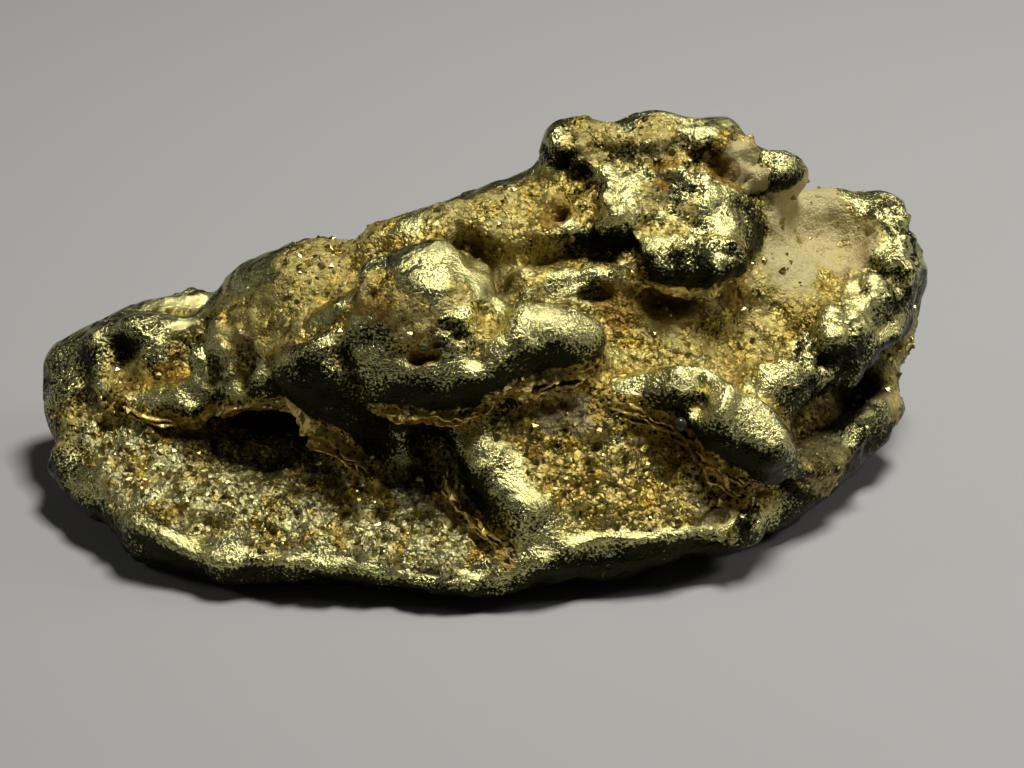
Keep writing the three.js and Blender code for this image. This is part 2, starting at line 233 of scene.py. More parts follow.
# The skin, in mm and the same frame
skin = {
    "cell": 0.08,
    "evenPasses": 8,
    "shelterRays": 14,
    "shelterReach": 2.5,
    "patchSize": 1.1,  # from here to the grit, the size of each pattern
    "raggedSize": 0.3,
    "swellSize": 0.8,
    "knobSize": 0.5,
    "pockSize": 0.34,
    "crinkleSize": 0.55,
    "facetSize": 0.26,
    "gritSize": 0.2,
    "swell": 0.04,  # from here to the chips, how high each kind of relief stands
    "knob": 0.17,
    "pock": 0.03,
    "facet": 0.06,
    "grit": 0.035,
    "crinkle": 0.28,
    "chip": 0.09,
    "folds": [  # stops, half width, depth
        ([(-2.2, -0.2, 4.7), (-2.5, -1.8, 4.9), (-2.7, -2.1, 4.6), (-3.2, -2.0, 4.2), (-3.7, -1.8, 3.8)],
         0.2, 0.24),
        ([(-0.8, -0.1, 5.2), (-0.3, -0.1, 4.9), (0.1, -0.4, 4.7), (0.3, -1.2, 4.6), (0.7, -2.1, 4.8)],
         0.2, 0.4),
        ([(-0.1, -2.2, 5.0), (0.1, -2.5, 4.7), (-0.1, -3.0, 4.5), (-0.3, -3.3, 4.0)], 0.22, 0.22),
        ([(3.2, 0.4, 5.4), (2.7, -0.1, 5.1), (3.1, -0.6, 4.5)], 0.16, 0.2),
        ([(2.2, 1.4, 6.3), (2.9, 1.1, 6.2), (3.9, 1.4, 6.3), (4.9, 1.4, 5.7), (5.6, 1.6, 5.0)], 0.15, 0.1),
        ([(-2.9, -1.9, 4.6), (-2.6, -2.2, 4.3), (-2.7, -2.5, 4.0), (-2.4, -2.8, 3.6), (-2.5, -2.9, 3.1)],
         0.15, 0.15),
        ([(1.4, 1.6, 6.0), (1.8, 1.2, 5.8), (2.0, 0.5, 5.6), (1.8, 0.0, 5.2)], 0.14, 0.14),
        ([(0.2, -0.2, 4.7), (1.1, -0.3, 4.9), (2.1, -0.1, 4.9), (2.6, -0.3, 4.8)], 0.18, 0.32),
        ([(-5.4, 0.4, 3.4), (-5.6, 0.0, 3.2), (-5.8, -0.2, 2.8), (-5.9, -0.7, 2.5)], 0.24, 0.4),
        ([(-5.4, -0.1, 3.2), (-5.4, -1.0, 3.1), (-5.2, -1.3, 2.5)], 0.16, 0.25),
        ([(-4.6, -1.1, 3.6), (-4.5, -1.3, 3.1), (-4.7, -1.6, 2.6)], 0.14, 0.25),
        ([(4.1, -2.3, 3.7), (4.0, -2.6, 3.6), (3.9, -2.9, 3.3), (3.7, -3.0, 2.9)], 0.2, 0.34),
        ([(-7.5, 1.0, 2.8), (-7.2, 0.0, 2.7), (-7.2, -0.6, 2.3)], 0.22, 0.28),
        ([(6.2, -0.8, 3.4), (6.3, -0.9, 3.0), (6.6, -1.0, 2.7)], 0.16, 0.2),
        ([(6.1, -1.1, 1.6), (6.5, -0.4, 1.7), (6.9, 0.1, 1.8), (7.4, 0.4, 1.9), (7.7, 0.6, 2.1)], 0.35, 0.5),
        ([(2.9, -0.6, 4.3), (3.8, -0.6, 4.2), (4.6, -0.3, 4.3), (5.1, 0.1, 4.5)], 0.2, 0.3),
        ([(7.7, 1.0, 4.0), (8.0, 0.9, 3.8), (8.2, 0.9, 3.6)], 0.16, 0.2),
        ([(2.2, 4.4, 3.4), (2.9, 4.9, 2.4), (4.2, 4.8, 1.5), (5.3, 4.4, 1.0)], 0.2, 0.3),
        ([(-3.0, 3.9, 3.0), (-2.2, 4.4, 2.2), (-1.0, 4.6, 1.5), (-0.6, 4.4, 0.7)], 0.18, 0.28),
        ([(-7.0, 2.2, 2.4), (-6.0, 2.8, 1.9), (-4.9, 3.0, 1.3)], 0.18, 0.22),
        ([(6.0, 3.9, 3.8), (6.9, 4.1, 2.9), (7.9, 3.6, 2.0)], 0.16, 0.24),
    ],
    "pits": [  # place, the way it runs, half length, half width, depth
        ((-1.2, -3.05, 4.2), (1, 0, 0.1), 0.42, 0.1, 0.28),
        ((-0.7, -2.9, 4.75), (1, 0, 0.5), 0.2, 0.1, 0.16),
        ((-0.5, -2.95, 4.6), (1, 0, -0.6), 0.15, 0.09, 0.16),
        ((-0.8, -3.0, 4.45), (1, 0, 0), 0.17, 0.08, 0.14),
        ((-0.3, -3.1, 4.4), (0, 0, 1), 0.14, 0.08, 0.14),
        ((-2.1, -2.2, 5.1), (0, 1, 0), 0.15, 0.1, 0.14),
        ((1.4, 0.3, 5.5), (0.6, 0, 1), 0.24, 0.15, 0.3),
        ((3.5, -2.9, 2.9), (1, 0, 0), 0.18, 0.14, 0.28),
        ((2.1, -0.7, 4.3), (1, 0, 0), 0.3, 0.2, 0.3),
        ((0.9, 4.4, 2.6), (1, 0, 0.4), 0.36, 0.16, 0.3),
        ((-4.3, 3.0, 2.4), (1, 0, -0.5), 0.28, 0.14, 0.25),
        ((5.2, 4.4, 2.2), (0, 0, 1), 0.25, 0.14, 0.25),
    ],
    "rims": [  # stops along the rolled rim, half width, height
        ([(-6.8, -3.0, 1.1), (-6.4, -3.6, 1.0), (-5.9, -3.9, 0.9), (-5.4, -4.1, 0.7), (-4.7, -4.4, 0.7),
          (-4.1, -4.4, 0.7), (-3.4, -4.5, 0.8), (-3.0, -4.6, 0.7), (-2.2, -4.7, 0.6), (-1.2, -4.7, 0.5),
          (-0.6, -4.8, 0.5), (0.1, -4.8, 0.6)], 0.16, 0.12),
        ([(1.3, -4.5, 1.0), (2.0, -4.2, 1.1), (2.6, -4.2, 1.1), (3.1, -4.2, 1.1), (3.7, -4.0, 1.1),
          (4.3, -3.8, 1.1)], 0.12, 0.11),
    ],
    "zones": {  # place, radius
        "dish": [
            ((-7.0, -1.2, 1.5), 1.0), ((-6.2, -2.4, 1.3), 1.3), ((-5.0, -3.0, 1.0), 1.4),
            ((-3.6, -3.5, 1.0), 1.4), ((-2.2, -3.7, 1.0), 1.3), ((-1.0, -4.0, 1.0), 1.2),
        ],
        "gritty": [
            ((1.5, -3.2, 2.3), 1.3), ((2.6, -3.4, 1.9), 1.2), ((3.6, -3.5, 1.5), 0.9),
            ((0.9, -2.6, 2.8), 0.8),
        ],
        "dusty": [
            ((-1.4, -2.6, 4.8), 0.6), ((-2.2, -2.1, 5.1), 0.5), ((-0.6, -2.3, 5.1), 0.5),
            ((-7.0, -0.4, 2.4), 0.8), ((-8.2, -0.9, 1.4), 0.8), ((-3.9, -1.0, 4.0), 1.3),
            ((-3.4, -0.4, 4.6), 1.3), ((-4.6, -0.6, 3.5), 0.9), ((-0.3, 0.6, 5.1), 1.3),
            ((0.8, 0.5, 5.3), 1.2), ((0.4, -0.5, 4.7), 0.8), ((-2.6, 1.0, 5.0), 1.6),
            ((5.5, 0.4, 3.8), 1.3), ((4.8, -0.8, 3.5), 1.2), ((3.5, -0.9, 3.8), 1.0),
            ((7.6, 0.4, 1.5), 1.2), ((6.4, -1.9, 1.2), 1.1), ((8.0, 0.3, 1.7), 0.9),
            ((8.3, 1.5, 2.2), 0.9), ((3.2, 1.6, 6.5), 0.9), ((4.7, 1.7, 6.1), 0.8), ((2.0, 1.7, 6.5), 0.9),
            ((3.9, 0.4, 5.5), 0.5), ((3.2, 0.5, 5.8), 0.5),
        ],
        "cream": [
            ((4.9, 1.7, 5.9), 0.4), ((5.3, 1.7, 5.6), 0.4), ((6.2, 2.3, 4.6), 1.6), ((7.0, 2.0, 3.9), 1.2),
            ((6.6, 3.8, 4.6), 1.4), ((5.9, 1.1, 4.1), 0.9),
        ],
        "iron": [
            ((1.9, 0.9, 6.0), 0.4), ((3.4, 1.0, 6.0), 0.4), ((4.6, 1.3, 5.8), 0.4),
            ((-2.1, -2.5, 4.7), 0.35), ((-0.9, -2.9, 4.4), 0.3), ((-7.0, -0.4, 2.3), 0.5),
            ((-6.3, -0.4, 2.3), 0.5), ((-4.9, -1.2, 3.0), 0.5), ((2.6, -0.8, 4.2), 0.7),
            ((3.6, -0.5, 4.1), 0.8), ((4.6, 0.1, 4.1), 0.7), ((-1.2, -3.0, 4.2), 0.3),
            ((1.4, 0.3, 5.5), 0.35), ((0.8, -3.3, 2.3), 0.45), ((2.6, -2.9, 2.9), 0.5),
        ],
        "spongy": [
            ((2.9, -2.6, 2.9), 0.3), ((3.3, -2.8, 2.6), 0.4), ((3.7, -3.0, 2.3), 0.4),
            ((4.1, -3.2, 2.0), 0.45), ((4.5, -3.4, 1.7), 0.45), ((4.9, -3.4, 1.5), 0.35),
        ],
        "silt": [
            ((1.2, -2.8, 2.7), 0.3), ((1.7, -2.7, 2.8), 0.3), ((2.8, -2.9, 2.4), 0.3),
            ((4.1, -3.5, 1.2), 0.3), ((7.6, 0.5, 1.6), 0.5), ((6.8, -1.2, 1.3), 0.4),
        ],
        "speckled": [
            ((-1.6, -2.4, 5.0), 1.1), ((-0.6, -2.8, 4.7), 0.8), ((-2.8, -2.5, 4.2), 0.8),
            ((7.2, -1.2, 1.2), 1.0), ((8.0, 0.2, 1.8), 1.0), ((8.4, 1.4, 2.4), 0.9),
            ((4.0, -0.3, 5.3), 0.9), ((3.3, 0.4, 5.6), 0.7),
        ],
        # painted shade, in patches on the fronts of the lobes, under the crest, along the front rim and at
        # the left end
        "shadedPatches": [
            ((-7.4, 0.1, 2.7), 0.8), ((-6.6, 0.2, 3.0), 0.6), ((-3.1, -2.2, 3.4), 0.9),
            ((-2.4, -2.7, 2.4), 0.9), ((-1.2, -3.2, 3.2), 0.9), ((0.0, -3.2, 3.4), 0.7),
            ((1.2, -2.9, 3.7), 0.7), ((-0.3, -3.6, 1.7), 0.6), ((3.9, -3.4, 2.3), 0.8),
            ((4.8, -3.6, 2.0), 0.8), ((4.0, -0.8, 4.8), 0.7), ((4.7, -0.5, 4.8), 0.7),
            ((5.1, 0.9, 5.1), 0.8), ((3.3, -0.6, 4.9), 0.5), ((3.3, -0.2, 5.1), 0.4),
            ((1.5, -4.5, 0.5), 0.9), ((2.8, -4.4, 0.6), 0.8), ((4.0, -4.2, 0.6), 0.7),
            ((-1.0, -4.9, 0.3), 0.7), ((-2.5, -4.9, 0.3), 0.7), ((-4.2, -4.7, 0.3), 0.7),
            ((-5.8, -4.0, 0.4), 0.7), ((-7.2, -2.9, 0.6), 0.8), ((-8.1, 0.2, 2.1), 1.1),
            ((-7.2, 0.8, 2.7), 0.8), ((-8.3, -1.4, 1.2), 0.9),
        ],
        # painted shade, in the hollow under the overhang behind the dish and in the gap at the right
        "shadedHollows": [
            ((-6.3, -1.3, 1.8), 0.5), ((-5.5, -1.7, 1.6), 0.7), ((-4.6, -2.0, 1.5), 0.8),
            ((-3.7, -2.3, 1.4), 0.9), ((-2.8, -2.7, 1.3), 0.8), ((-1.4, -3.0, 1.6), 0.7),
            ((6.2, -1.9, 1.6), 0.7), ((6.6, -1.1, 1.6), 0.9), ((7.1, -0.4, 1.7), 0.8),
            ((7.7, 0.6, 2.1), 0.6),
        ],
        "knobbly": [
            ((2.4, 1.0, 6.0), 1.2), ((3.6, 1.2, 6.1), 1.3), ((4.9, 1.6, 5.8), 1.1), ((3.8, 0.3, 5.5), 1.1),
            ((4.1, -0.5, 5.1), 1.0), ((2.4, 0.0, 5.3), 0.8), ((6.0, -1.2, 3.0), 0.8),
            ((6.7, -0.5, 3.3), 1.0), ((7.6, 0.8, 3.9), 1.1), ((8.2, 2.0, 4.5), 1.0),
            ((1.6, 1.6, 6.1), 0.9), ((3.2, 4.0, 3.9), 1.1), ((-1.6, 3.9, 3.3), 1.0),
            ((-6.0, 2.4, 2.6), 0.8),
        ],
        "polished": [
            ((1.0, -2.6, 4.5), 1.1), ((0.2, -2.9, 4.2), 0.9), ((3.6, -2.7, 3.5), 0.9),
            ((4.4, -3.0, 3.0), 1.0), ((5.4, -2.0, 3.3), 0.8), ((6.4, -0.9, 3.3), 0.9),
            ((7.6, 0.9, 4.1), 1.0), ((8.1, 2.2, 4.6), 1.0), ((3.0, 0.9, 6.2), 1.1), ((3.9, 0.4, 5.6), 1.1),
            ((-7.9, -0.4, 1.9), 1.0), ((-1.3, -2.3, 5.3), 1.1),
        ],
    },
}


# The nugget's own solid, drawn again with a finer and more even net
def fineSkin():
    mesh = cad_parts["nugget"].data.copy()
    work = bmesh.new()
    work.from_mesh(mesh)
    bmesh.ops.remove_doubles(work, verts=work.verts, dist=1e-6)
    work.to_mesh(mesh)
    work.free()
    rough = addObject("roughSkin", mesh)
    net = rough.modifiers.new("net", "REMESH")
    net.mode = "VOXEL"
    net.voxel_size = skin["cell"] * mm
    finished = bpy.data.meshes.new_from_object(rough.evaluated_get(bpy.context.evaluated_depsgraph_get()))
    bpy.data.objects.remove(rough)
    return finished


# A creased valley with a low swell on each side, as between two pressed folds
def carveFold(points, normals, stops, width, depth):
    reach, where = alongLine(points, stops)
    fade = softStep(where, 0, 0.18) * softStep(-where, -1, -0.82)
    valley = np.exp(-np.abs(reach / width) ** 1.5) - 0.3 * np.exp(-((reach - 2.4 * width) / width) ** 2)
    return points - normals * (depth * valley * fade)[:, None]


# A long ragged pit
def carvePit(points, normals, place, way, length, width, depth, ragged):
    way = np.array(way, float) / np.linalg.norm(way)
    away = points - np.array(place)
    along = away @ way
    across = np.linalg.norm(away - along[:, None] * way, axis=1)
    reach = np.sqrt((along / length) ** 2 + (across / width) ** 2) + 0.35 * ragged
    return points - normals * (depth * (1 - softStep(reach, 0.5, 1.25)))[:, None]


# How sheltered each point is, from 0 in the open to 1 deep in a hollow
def shelterOf(mesh, rays, reachMm):
    tree = meshTree(mesh)
    golden = math.pi * (3 - math.sqrt(5))
    fan = []
    for i in range(rays):
        up = math.sqrt((i + 0.5) / rays)
        out = math.sqrt(1 - up * up)
        fan.append(Vector((out * math.cos(i * golden), out * math.sin(i * golden), up)))
    found = np.zeros(len(mesh.vertices))
    for v in mesh.vertices:
        turn = v.normal.to_track_quat("Z", "Y")
        start = v.co + v.normal * (0.06 * mm)  # clear of the face it stands on
        hidden = 0.0
        for way in fan:
            hit = tree.ray_cast(start, turn @ way, reachMm * mm)
            if hit[0] is not None:
                hidden += 1 - 0.5 * hit[3] / (reachMm * mm)
        found[v.index] = hidden / rays
    return found


mesh = fineSkin()
edges = edgesOf(mesh)
points = pointsOf(mesh)
for _ in range(skin["evenPasses"]):  # evened without shrinking, so the facets go and the size stays
    points = smoothed(points, edges, 1, 0.55)
    points = smoothed(points, edges, 1, -0.57)
setPoints(mesh, points)
print("skin:", len(mesh.vertices), "points", len(mesh.polygons), "faces")

patchy = lumpyNoise(points, skin["patchSize"], 5.0, 3)
ragged = lumpyNoise(points, skin["raggedSize"], 77.0)
smoothSkin = meshTree(mesh)


# The nearest place on the smooth skin, so that what is carved there is never buried or out in the air
def onSkin(place):
    near, _, _, _ = smoothSkin.find_nearest(Vector(place) * mm)
    return np.array(near) / mm


for stops, width, depth in skin["folds"]:
    points = carveFold(points, normalsOf(mesh), [onSkin(stop) for stop in stops], width, depth)
    setPoints(mesh, points)
for place, way, length, width, depth in skin["pits"]:
    points = carvePit(points, normalsOf(mesh), onSkin(place), way, length, width, depth, ragged)
    setPoints(mesh, points)

# The rolled rim of the front: a low uneven bead along the edge of the dish and of the plateau
rolled = np.zeros(len(points))
for stops, width, height in skin["rims"]:
    away, along = alongLine(points, [onSkin(stop) for stop in stops])
    bead = np.exp(-(away / width) ** 2) * softStep(along, 0, 0.1) * softStep(-along, -1, -0.9)
    points = points + normalsOf(mesh) * (height * bead * (1 + 0.5 * ragged))[:, None]
    rolled = np.maximum(rolled, bead)
    setPoints(mesh, points)
print("folds, pits and rims carved")


# The spongy strips beside the torn edges, from 0 to 1
def tornStrips():
    strips = np.zeros(len(points))
    for stops, sheets, gap, _, _ in flakes["lips"]:
        halfDrop = gap * (sheets - 1) / 2
        away, _ = alongLine(points + np.array((0, 0, halfDrop)), stops)
        strips = np.maximum(strips, 1 - softStep(away + 0.12 * ragged, halfDrop, 0.22 + halfDrop))
    return strips


# How far each point lies inside a named zone, from 0 to 1, with a ragged border
def zoneOf(name):
    inside = np.zeros(len(points))
    for place, radius in skin["zones"][name]:
        reach = np.linalg.norm(points - np.array(place), axis=1) + 0.3 * patchy + 0.15 * ragged
        inside = np.maximum(inside, 1 - softStep(reach, 0.5 * radius, radius))
    return inside


# Where the skin is worn: what stands proud is burnished, and what is crumbly, torn or sheltered is not
normals = normalsOf(mesh)
shelter = smoothed(shelterOf(mesh, skin["shelterRays"], skin["shelterReach"]), edges, 2)
small = np.sum((points - smoothed(points, edges, 12)) * normals, axis=1)
large = np.sum((points - smoothed(points, edges, 120)) * normals, axis=1)
dish, gritty = zoneOf("dish") * (1 - rolled), zoneOf("gritty") * (1 - rolled)
dusty, cream = zoneOf("dusty"), zoneOf("cream")
iron, silt, polished = zoneOf("iron"), zoneOf("silt"), zoneOf("polished")
speckled, knobbly = zoneOf("speckled"), zoneOf("knobbly")
torn = np.maximum(tornStrips(), zoneOf("spongy"))
shadedPatches, shadedHollows = zoneOf("shadedPatches"), zoneOf("shadedHollows")
crumbly = np.max([dish, 0.85 * gritty, 0.85 * dusty, 0.9 * cream, silt], axis=0)
proud = large + 0.6 * small + 0.04 * patchy - 0.2 * (shelter - 0.3) + 0.06 * polished + 0.2 * rolled
proud -= 0.28 * crumbly + 0.3 * torn
worn = smoothed(softStep(proud, -0.04, 0.07), edges, 1)
print("wear and shelter found")

# The small relief: swells everywhere, knobs in their zones, pocks where it is worn, grit where it isn't,
# and broken crystals in the dish and on the plateau
knobs = pebbles(points + 0.08 * ragged[:, None], skin["knobSize"], 31.0)
knobs += 0.5 * pebbles(points, skin["knobSize"] / 2, 57.0)
swell = lumpyNoise(points, skin["swellSize"], 23.0) * skin["swell"] + skin["knob"] * knobbly * knobs
pocks = softStep(lumpyNoise(points, skin["pockSize"], 41.0, 2), 0.12, 0.3)
crinkle = 0.5 - np.abs(lumpyNoise(points, skin["crinkleSize"], 61.0, 2))
facets = crystalFaces(points, skin["facetSize"], 13.0)
grit = skin["facet"] * facets + skin["grit"] * lumpyNoise(points, skin["gritSize"], 3.0)
grit *= 1 - 0.7 * cream
broken = np.maximum(dish, 0.7 * gritty)
chips = skin["crinkle"] * crinkle + skin["chip"] * facets
relief = swell - skin["pock"] * worn * pocks + (1 - worn) * (grit + broken * chips)
floorFade = softStep(points[:, 2], 0.0, 0.25)
points = points + normals * (relief * floorFade)[:, None]
points[:, 2] = np.maximum(points[:, 2], 0)
setPoints(mesh, points)
print("relief raised")

# What lies on the metal, from 0 to about 1: iron stain, clay film and crumbs, loose grains; then painted
# shade on the down-facing sides, in the creases between knobs and on listed patches, and darkest deep in the
# hollows
crevice = softStep(shelter, 0.42, 0.75)
stain = np.clip(np.maximum(iron, crevice * (0.75 + 0.5 * patchy)) * (1 - 0.5 * worn), 0, 1)
film = 0.25 * gritty + 0.52 * dusty + 0.9 * cream + 0.3 * speckled + 0.25 * softStep(shelter, 0.2, 0.5)
film = film * (1 - 0.5 * worn) + dish * (0.5 * softStep(patchy, 0.0, 0.35) - 0.15)
film = np.clip(film * (1 + 0.6 * ragged + 0.5 * patchy), 0, 0.56 + 0.44 * cream)
crumbs = film * (1 - 0.8 * cream)
loose = (1 - worn) * (0.08 + 0.92 * np.max([dish, gritty, torn, 0.3 * dusty], axis=0)) * floorFade
# Painted shade: darkest on the sides that look down, in the creases between knobs and on the listed shaded
# patches, less on top of the rolled rim
facing = smoothed(normals[:, 2], edges, 6)
paintedShade = softStep(-facing, -0.7, 0.08) * (1 - 0.6 * dish) * (0.9 + 0.4 * patchy)
paintedShade += 0.5 * knobbly * softStep(-knobs, -0.45, 0.35) + 0.5 * shadedPatches
paintedShade *= 1 - 0.8 * rolled * softStep(facing, -0.1, 0.4)
# painted shade deep in the hollows, found by how sheltered they are, and in the listed shaded hollows; fewer
# loose grains there
deep = np.maximum(softStep(shelter, 0.46, 0.75), 0.9 * shadedHollows) * (1 - 0.9 * torn)
loose *= (1 - 0.7 * deep) * np.clip(0.9 + 1.2 * patchy + 0.5 * ragged, 0.15, 1.3)
skinMaps = {
    "worn": worn, "dish": dish, "cream": cream, "silt": silt, "stain": stain, "film": film,
    "crumbs": crumbs, "loose": loose, "paintedShade": paintedShade, "deep": deep, "torn": torn, "speckled": speckled,
}
for name, values in skinMaps.items():
    addAttribute(mesh, name, values)
print("stains, clay and grime found")

# Native gold with some silver in it, tumbled by a river: burnished on the high spots, where it is pale
# and satin with fine dark pits, and crystalline, dusted with clay and stained by iron in the hollows.
nativeGold = {
    "burnished": "#E2DB92",
    "crumbly": "#D9C572",
    "bright": "#E8E2A2",
    "yellow": "#DABB52",
    "spongy": "#DCC05E",
    # the near-black of the pits and cracks, and of the painted shade on the down-facing sides
    "patinaAndShade": "#141208",
    # painted shade in the gaps between the small crystals
    "crystalGapShade": "#3A3012",
    "pore": "#2A1C0A",
    "clay": "#CCBC70",
    "creamClay": "#DCCC92",
    "silt": "#A89F7C",
    "ironStain": "#8F6E1E",
    # painted shade, nearly black, deep in the hollows
    "deepShadeTint": "#150F06",
    "burnishedRoughness": 0.25,
    "crumblyRoughness": 0.42,
    "clayRoughness": 0.8,
    "patchMm": 0.7,
    "crackMm": 0.35,
    "facetMm": 0.1,
    "bendMm": 0.12,  # how far the edges of the small crystals wander
    "pitMm": 0.055,
    "pitDepthMm": 0.04,
    "poreMm": 0.09,
    "poreDepthMm": 0.08,
    "dustMm": 0.1,  # dust and scuffs are finer than this, and are drawn this coarse so that they show
    "scuffMm": 0.05,
    "scuffDepthMm": 0.019,
}


def nativeGoldMaterial():
    material, tree, shader = newMaterial("native gold, river worn")
    place = addNode(tree, "ShaderNodeTexCoord").outputs["Object"]
    share = {}
    for name in ("worn", "dish", "cream", "silt", "stain", "film", "paintedShade", "deep", "torn", "speckled"):
        share[name] = addNode(tree, "ShaderNodeAttribute", {"attribute_name": name}).outputs["Fac"]
    pattern = {}
    for name, detail, roughness in (("patch", 4.0, 0.65), ("crack", 5.0, 0.7), ("bend", 3.0, 0.5),
                                    ("pit", 3.0, 0.6), ("pore", 3.0, 0.6), ("dust", 4.0, 0.65),
                                    ("scuff", 3.0, 0.5)):
        pattern[name] = addNode(tree, "ShaderNodeTexNoise", None, Vector=place, Detail=detail,
                                Roughness=roughness, Scale=1 / (nativeGold[name + "Mm"] * mm)).outputs

    # yellower patches in the hollows
    patch = addNode(tree, "ShaderNodeMapRange", None, Value=pattern["patch"]["Fac"],
                    From_Min=0.48, From_Max=0.62)
    hollow = addNode(tree, "ShaderNodeMath", {"operation": "SUBTRACT"}, i0=1.0, i1=share["worn"])
    yellow = addNode(tree, "ShaderNodeMath", {"operation": "MULTIPLY"}, i0=patch.outputs[0],
                     i1=hollow.outputs[0])

    # dark pits, more of them in patches, joined by painted shade that darkens nearly the whole surface where
    # it looks down
    pitAndShadeAmount = pattern["pit"]["Fac"]
    for amount, weight in ((share["paintedShade"], 0.34), (patch.outputs[0], 0.09), (share["speckled"], 0.04)):
        pitAndShadeAmount = addNode(tree, "ShaderNodeMath", {"operation": "MULTIPLY_ADD"}, i0=amount, i1=weight,
                        i2=pitAndShadeAmount).outputs[0]
    pitAndShadeMask = addNode(tree, "ShaderNodeMapRange", {"interpolation_type": "SMOOTHSTEP"}, Value=pitAndShadeAmount,
                     From_Min=0.6, From_Max=0.78, To_Max=0.98)

    # fine winding cracks, in patches: where their noise passes through its middle value
    cracks = addNode(tree, "ShaderNodeMath", {"operation": "SUBTRACT"}, i0=pattern["crack"]["Fac"], i1=0.5)
    cracks = addNode(tree, "ShaderNodeMath", {"operation": "ABSOLUTE"}, i0=cracks.outputs[0])
    cracks = addNode(tree, "ShaderNodeMapRange", None, Value=cracks.outputs[0],
                     From_Min=0.012, From_Max=0.036, To_Min=0.95, To_Max=0.0)
    cracks = addNode(tree, "ShaderNodeMath", {"operation": "MULTIPLY"}, i0=cracks.outputs[0],
                     i1=patch.outputs[0])
    dark = addNode(tree, "ShaderNodeMath", {"operation": "MAXIMUM"}, i0=pitAndShadeMask.outputs[0],
                   i1=cracks.outputs[0])

    # painted shade in the broken gaps between the small crystals of the hollows, whose edges are bent by a
    # noise
    facetScale = 1 / (nativeGold["facetMm"] * mm)
    bend = addNode(tree, "ShaderNodeVectorMath", {"operation": "SUBTRACT"}, i0=pattern["bend"]["Color"],
                   i1=(0.5, 0.5, 0.5))
    bend = addNode(tree, "ShaderNodeVectorMath", {"operation": "SCALE"}, i0=bend.outputs[0],
                   Scale=nativeGold["bendMm"] * 1.2 * mm)
    bent = addNode(tree, "ShaderNodeVectorMath", {"operation": "ADD"}, i0=place, i1=bend.outputs[0])
    cells = addNode(tree, "ShaderNodeTexVoronoi", None, Vector=bent.outputs[0], Scale=facetScale)
    gaps = addNode(tree, "ShaderNodeMath", {"operation": "MULTIPLY_ADD"}, i0=pattern["dust"]["Fac"], i1=1.4,
                   i2=cells.outputs["Distance"])
    gaps = addNode(tree, "ShaderNodeMapRange", {"interpolation_type": "SMOOTHSTEP"}, Value=gaps.outputs[0],
                   From_Min=1.2, From_Max=1.6, To_Max=0.7)
    gaps = addNode(tree, "ShaderNodeMath", {"operation": "MULTIPLY"}, i0=gaps.outputs[0],
                   i1=hollow.outputs[0])

    # the metal: pale where it is burnished and yellower where it is crumbly, brightest in the dish, and
    # then the patches, the pits and cracks with the painted shade, and the painted shade in the gaps
    metal = addNode(tree, "ShaderNodeMix", {"data_type": "RGBA"}, Factor=share["worn"],
                    i6=colour(nativeGold["crumbly"]), i7=colour(nativeGold["burnished"]))
    for amount, tint in ((share["dish"], "bright"), (yellow.outputs[0], "yellow"),
                         (dark.outputs[0], "patinaAndShade"), (gaps.outputs[0], "crystalGapShade")):
        metal = addNode(tree, "ShaderNodeMix", {"data_type": "RGBA"}, Factor=amount,
                        i6=metal.outputs[2], i7=colour(nativeGold[tint]))

    # what lies on the metal: clay film, pale silt and iron stain, each broken up by the dust noise, and
    # painted shade deep in the hollows. The last two values are how thick a layer gets, and how much of that
    # is matte.
    clay = addNode(tree, "ShaderNodeMix", {"data_type": "RGBA"}, Factor=share["cream"],
                   i6=colour(nativeGold["clay"]), i7=colour(nativeGold["creamClay"]))
    covers, matte = metal.outputs[2], 0.0
    for name, tint, thickest, dullness in (("film", clay.outputs[2], 0.9, 0.75),
                                           ("silt", colour(nativeGold["silt"]), 0.55, 0.8),
                                           ("stain", colour(nativeGold["ironStain"]), 0.8, 0.3)):
        laid = addNode(tree, "ShaderNodeMath", {"operation": "ADD"}, i0=share[name],
                       i1=pattern["dust"]["Fac"])
        laid = addNode(tree, "ShaderNodeMapRange", {"interpolation_type": "SMOOTHSTEP"},
                       Value=laid.outputs[0], From_Min=0.84, From_Max=1.2, To_Max=thickest)
        covers = addNode(tree, "ShaderNodeMix", {"data_type": "RGBA"}, Factor=laid.outputs[0],
                         i6=covers, i7=tint).outputs[2]
        dull = addNode(tree, "ShaderNodeMath", {"operation": "MULTIPLY"}, i0=laid.outputs[0], i1=dullness)
        matte = addNode(tree, "ShaderNodeMath", {"operation": "MAXIMUM"}, i0=matte,
                        i1=dull.outputs[0]).outputs[0]
    # painted shade, nearly black, deep in the hollows
    deep = addNode(tree, "ShaderNodeMapRange", None, Value=share["deep"], To_Max=0.85)
    covers = addNode(tree, "ShaderNodeMix", {"data_type": "RGBA"}, Factor=deep.outputs[0],
                     i6=covers, i7=colour(nativeGold["deepShadeTint"])).outputs[2]

